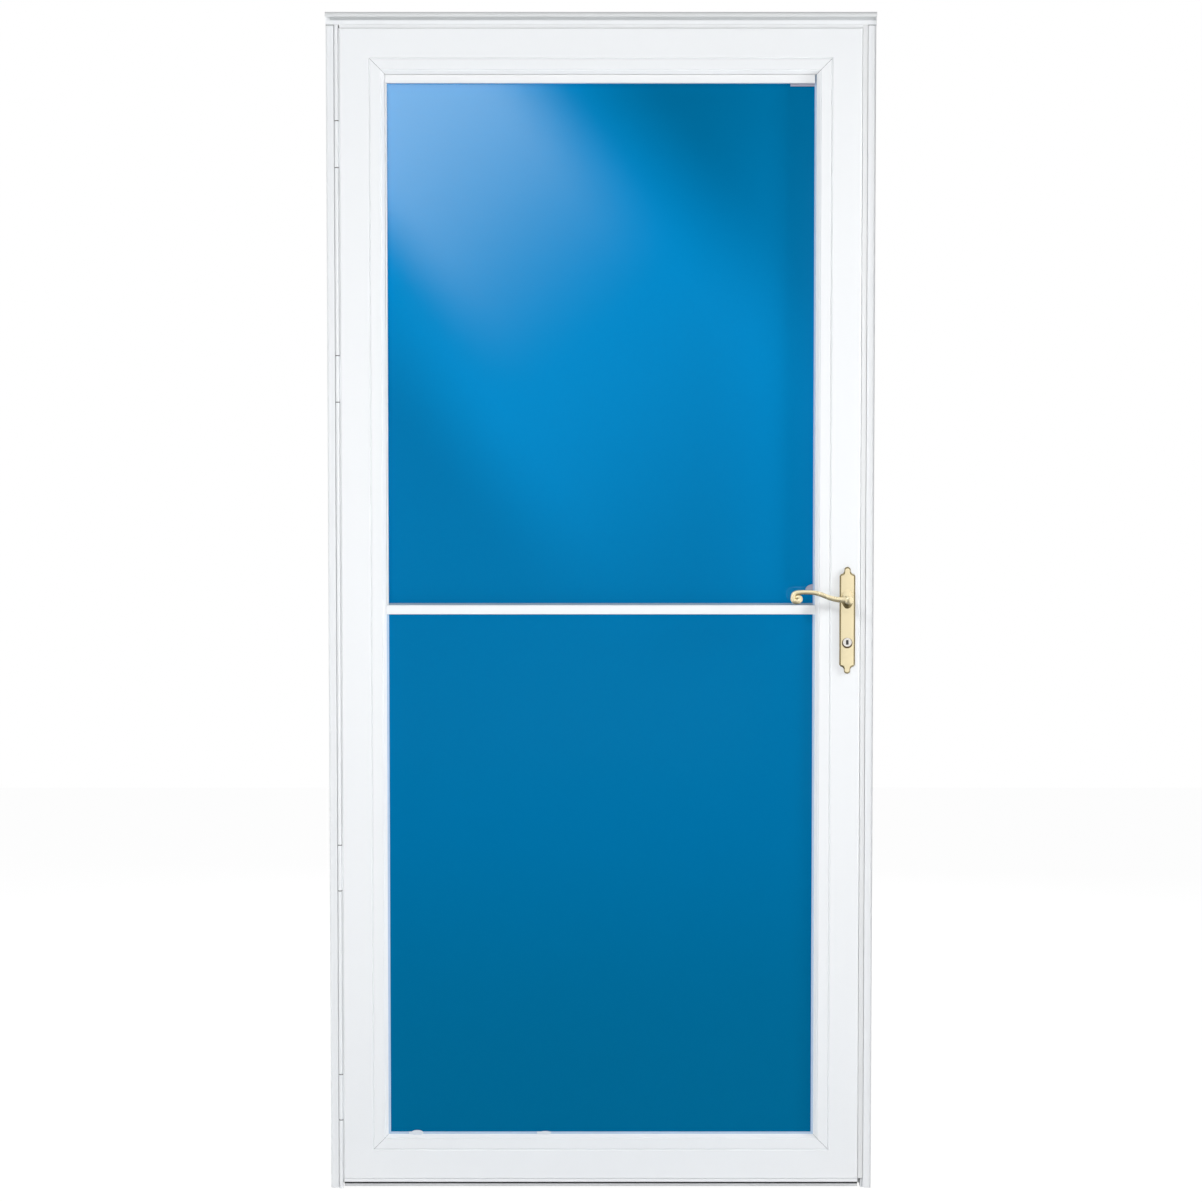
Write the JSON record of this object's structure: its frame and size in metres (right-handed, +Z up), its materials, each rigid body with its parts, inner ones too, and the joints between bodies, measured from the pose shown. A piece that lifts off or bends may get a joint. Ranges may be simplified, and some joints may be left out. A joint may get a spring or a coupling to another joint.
{
  "type": "storm door",
  "caption": "Full-view aluminium storm door hung in its own jambs, with blue-tinted panes, a meeting bar, a drip cap, a sweep and a brass lever set that works from both sides.",
  "frame": {"origin": "on the back of the hinge jamb's flange, where it lies on the house trim, at its foot and mid-width", "axes": "+X from the hinge jamb to the latch jamb, +Y into the house, +Z up"},
  "size_m": [0.95, 0.127, 2.05],
  "materials": {
    "white_enamel": "satin baked enamel on extruded aluminium",
    "brass": "polished and lacquered",
    "glass": "clear tempered",
    "blue_film": "glossy tinted film",
    "black_vinyl": "matt black",
    "pale_vinyl": "pale bluish vinyl",
    "white_plastic": "moulded, fine grain",
    "grey_pile": "short woven pile",
    "steel": "zinc plated"
  },
  "bodies": {
    "frame": {"hinge_jamb": "white_enamel", "latch_jamb": "white_enamel", "head_jamb": "white_enamel", "drip_cap": "white_enamel", "hinge_seal": "grey_pile", "latch_seal": "grey_pile", "head_seal": "grey_pile", "strike_plate": "steel", "hinge_pins": "steel"},
    "door": {"hinge_stile": "white_enamel", "latch_stile": "white_enamel", "top_rail": "white_enamel", "bottom_rail": "white_enamel", "sweep_channel": "white_enamel", "sweep_fins": "black_vinyl", "left_bead": "white_enamel", "right_bead": "white_enamel", "top_bead": "white_enamel", "bottom_bead": "white_enamel", "lower_pane": "glass", "lower_film": "blue_film", "lower_gasket": "pale_vinyl", "pane_clips": "white_plastic", "meeting_bar": "white_enamel", "sash_left_stile": "white_enamel", "sash_right_stile": "white_enamel", "sash_top_rail": "white_enamel", "sash_bottom_rail": "white_enamel", "upper_pane": "glass", "upper_film": "blue_film", "sash_tab": "white_plastic", "sash_catch": "white_plastic", "outside_plate": "brass", "inside_plate": "brass", "lock_case": "steel", "cylinder_ring": "brass", "hinge_leaf_1": "white_enamel", "hinge_leaf_2": "white_enamel", "hinge_leaf_3": "white_enamel", "hinge_leaf_4": "white_enamel"},
    "lever": {"outside_lever": "brass", "inside_lever": "brass", "spindle": "steel"},
    "key": {"key_plug": "brass", "thumb_turn": "brass"}
  },
  "joints": [
    {"name": "door_swing", "type": "hinge", "parent": "frame", "child": "door", "pos_m": [0.01, -0.0105, 0], "axis": [0, 0, -1], "range_deg": [0, 110]},
    {"name": "lever_turn", "type": "hinge", "parent": "door", "child": "lever", "pos_m": [0.8949, 0.005, 1.038], "axis": [0, -1, 0], "range_deg": [0, 40], "stiffness_Nm_per_rad": 0.8, "springref_deg": -28.65},
    {"name": "key_turn", "type": "hinge", "parent": "door", "child": "key", "pos_m": [0.8949, 0.005, 0.963], "axis": [0, -1, 0], "range_deg": [0, 90]}
  ]
}
